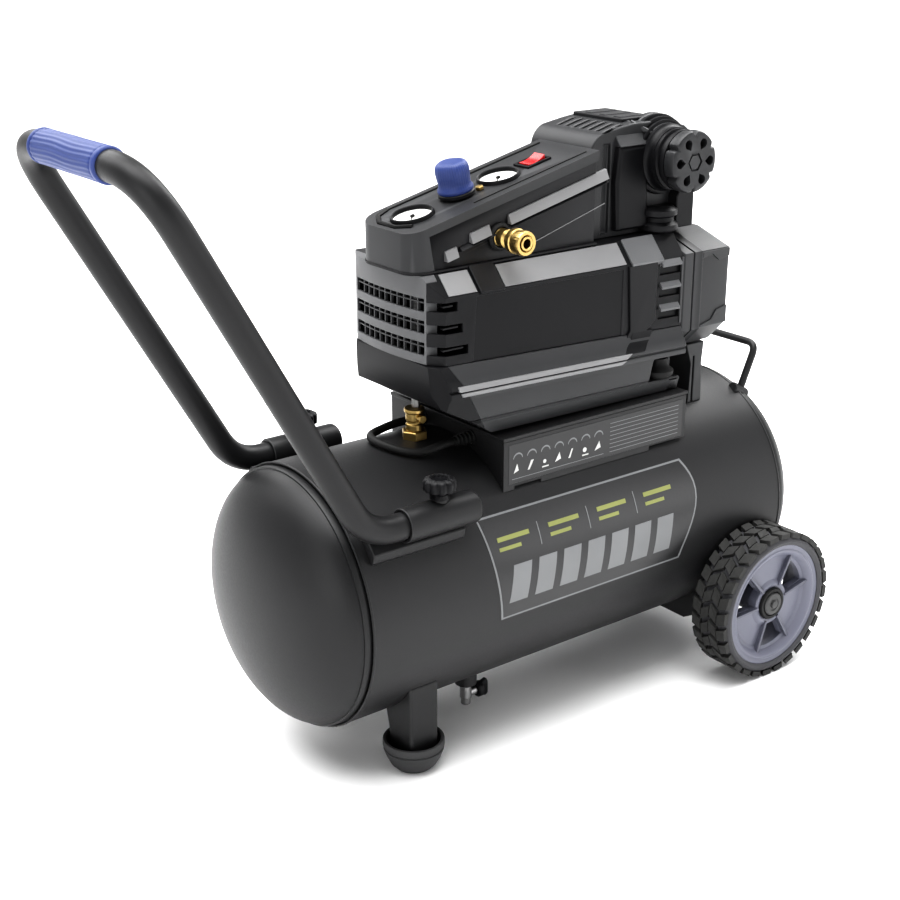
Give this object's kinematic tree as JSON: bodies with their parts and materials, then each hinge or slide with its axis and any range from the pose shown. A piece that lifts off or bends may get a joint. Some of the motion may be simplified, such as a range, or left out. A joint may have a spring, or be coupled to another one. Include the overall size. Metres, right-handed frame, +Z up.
{
  "type": "portable air compressor",
  "caption": "Portable air compressor: horizontal tank on two wheels and two feet, housed pump and motor on top, sloped console with gauges, push handle at one end.",
  "frame": {"origin": "on the floor, at the centre of the bounding box seen from above", "axes": "+X from the push handle towards the wheels, -Y the side with the outlet coupler and the air filter, +Z up"},
  "size_m": [0.7826, 0.35, 0.6065],
  "materials": {
    "black_paint": "satin",
    "black_plastic": "matt",
    "grey_plastic": "matt",
    "blue_plastic": "matt",
    "red_plastic": "gloss",
    "rim_plastic": "matt",
    "rubber": "matt",
    "tyre": "matt",
    "brass": "satin",
    "steel": "satin",
    "aluminium": "satin",
    "iron": "matt",
    "gauge_white": "gloss"
  },
  "bodies": {
    "compressor": {"tank_head_left": "black_paint", "tank_head_right": "black_paint", "cylinder": "aluminium", "control_console": "black_plastic", "fan_cowl": "grey_plastic", "discharge_tube": "aluminium", "lift_bail": "black_paint", "outlet_coupler": "brass", "handle_sleeve_front": "black_paint", "handle_sleeve_rear": "black_paint", "tank_shell": "black_paint", "foot_front": "rubber", "foot_rear": "rubber", "filter_housing": "black_plastic", "axle_bracket": "black_paint", "pump_bracket": "black_paint", "crankcase": "aluminium", "gauge_tank": "gauge_white", "gauge_outlet": "gauge_white", "motor_lead": "rubber", "motor_stator": "iron", "head_cover": "black_plastic", "axle_bolt_front": "steel", "axle_bolt_rear": "steel", "safety_valve_body": "brass", "drain_valve_body": "steel", "upper_shroud": "black_plastic", "lower_shroud": "grey_plastic", "isolator_1": "rubber", "isolator_2": "rubber", "isolator_3": "rubber", "isolator_4": "rubber", "lead_relief_front": "rubber", "lead_relief_rear": "rubber", "cylinder_head": "aluminium", "check_valve": "brass", "pump_stay": "black_paint", "end_cover": "grey_plastic", "pressure_switch": "black_plastic", "leg_front": "black_paint", "leg_rear": "black_paint"},
    "wheel_front": {"tyre_front": "tyre", "rim_front": "rim_plastic"},
    "wheel_rear": {"tyre_rear": "tyre", "rim_rear": "rim_plastic"},
    "handle": {"handle_frame": "black_paint", "handle_grip": "blue_plastic"},
    "clamp_front": {"clamp_knob_front": "black_plastic"},
    "clamp_rear": {"clamp_knob_rear": "black_plastic"},
    "regulator": {"regulator_knob": "blue_plastic"},
    "rocker": {"power_switch": "red_plastic"},
    "tank_gauge_needle": {"needle_tank": "black_plastic"},
    "outlet_gauge_needle": {"needle_outlet": "black_plastic"},
    "drain": {"drain_knob": "black_plastic"},
    "safety_pull": {"safety_ring": "steel"},
    "sleeve": {"coupler_sleeve": "brass"},
    "filter_lid": {"filter_cover": "grey_plastic"},
    "rotor": {"motor_rotor": "steel", "cooling_fan": "black_plastic"},
    "piston": {"piston_rod": "aluminium"}
  },
  "joints": [
    {"name": "wheel_front_spin", "type": "hinge", "parent": "compressor", "child": "wheel_front", "pos_m": [0.28325, -0.152, 0.08], "axis": [0, 1, 0], "continuous": true},
    {"name": "wheel_rear_spin", "type": "hinge", "parent": "compressor", "child": "wheel_rear", "pos_m": [0.28325, 0.152, 0.08], "axis": [0, 1, 0], "continuous": true},
    {"name": "handle_slide", "type": "slide", "parent": "compressor", "child": "handle", "axis": [-1, 0, 0], "range_m": [-0.008, 0.02]},
    {"name": "clamp_front_turn", "type": "hinge", "parent": "compressor", "child": "clamp_front", "pos_m": [-0.11175, -0.113, 0.29], "axis": [0, 0, 1], "range_deg": [0, 360]},
    {"name": "clamp_rear_turn", "type": "hinge", "parent": "compressor", "child": "clamp_rear", "pos_m": [-0.11175, 0.113, 0.29], "axis": [0, 0, 1], "range_deg": [0, 360]},
    {"name": "regulator_turn", "type": "hinge", "parent": "compressor", "child": "regulator", "pos_m": [-0.02275, -0.022, 0.52269], "axis": [-0.2362, 0, 0.9717], "range_deg": [-720, 720]},
    {"name": "power_rocker", "type": "hinge", "parent": "compressor", "child": "rocker", "pos_m": [0.06672, -0.022, 0.54239], "axis": [0, 1, 0], "range_deg": [0, 16]},
    {"name": "tank_needle_turn", "type": "hinge", "parent": "compressor", "child": "tank_gauge_needle", "pos_m": [-0.07275, -0.022, 0.51054], "axis": [-0.2362, 0, 0.9717], "range_deg": [-270, 0], "stiffness_Nm_per_rad": 0.001},
    {"name": "outlet_needle_turn", "type": "hinge", "parent": "compressor", "child": "outlet_gauge_needle", "pos_m": [0.02525, -0.022, 0.53436], "axis": [-0.2362, 0, 0.9717], "range_deg": [-270, 0], "stiffness_Nm_per_rad": 0.001},
    {"name": "drain_turn", "type": "hinge", "parent": "compressor", "child": "drain", "pos_m": [-0.01575, -0.048, 0.027], "axis": [1, 0, 0], "range_deg": [0, 360]},
    {"name": "safety_pull_out", "type": "slide", "parent": "compressor", "child": "safety_pull", "axis": [0, 1, 0], "range_m": [0, 0.004], "stiffness_N_per_m": 800},
    {"name": "sleeve_pull_back", "type": "slide", "parent": "compressor", "child": "sleeve", "axis": [0, 1, 0], "range_m": [0, 0.003], "stiffness_N_per_m": 800},
    {"name": "filter_lid_twist", "type": "hinge", "parent": "compressor", "child": "filter_lid", "pos_m": [0.21325, -0.083, 0.538], "axis": [0, 1, 0], "range_deg": [0, 30]},
    {"name": "motor_spin", "type": "hinge", "parent": "compressor", "child": "rotor", "pos_m": [0.06925, 0, 0.392], "axis": [1, 0, 0], "continuous": true},
    {"name": "piston_stroke", "type": "slide", "parent": "compressor", "child": "piston", "axis": [0, 0, 1], "range_m": [0, 0.022]}
  ]
}
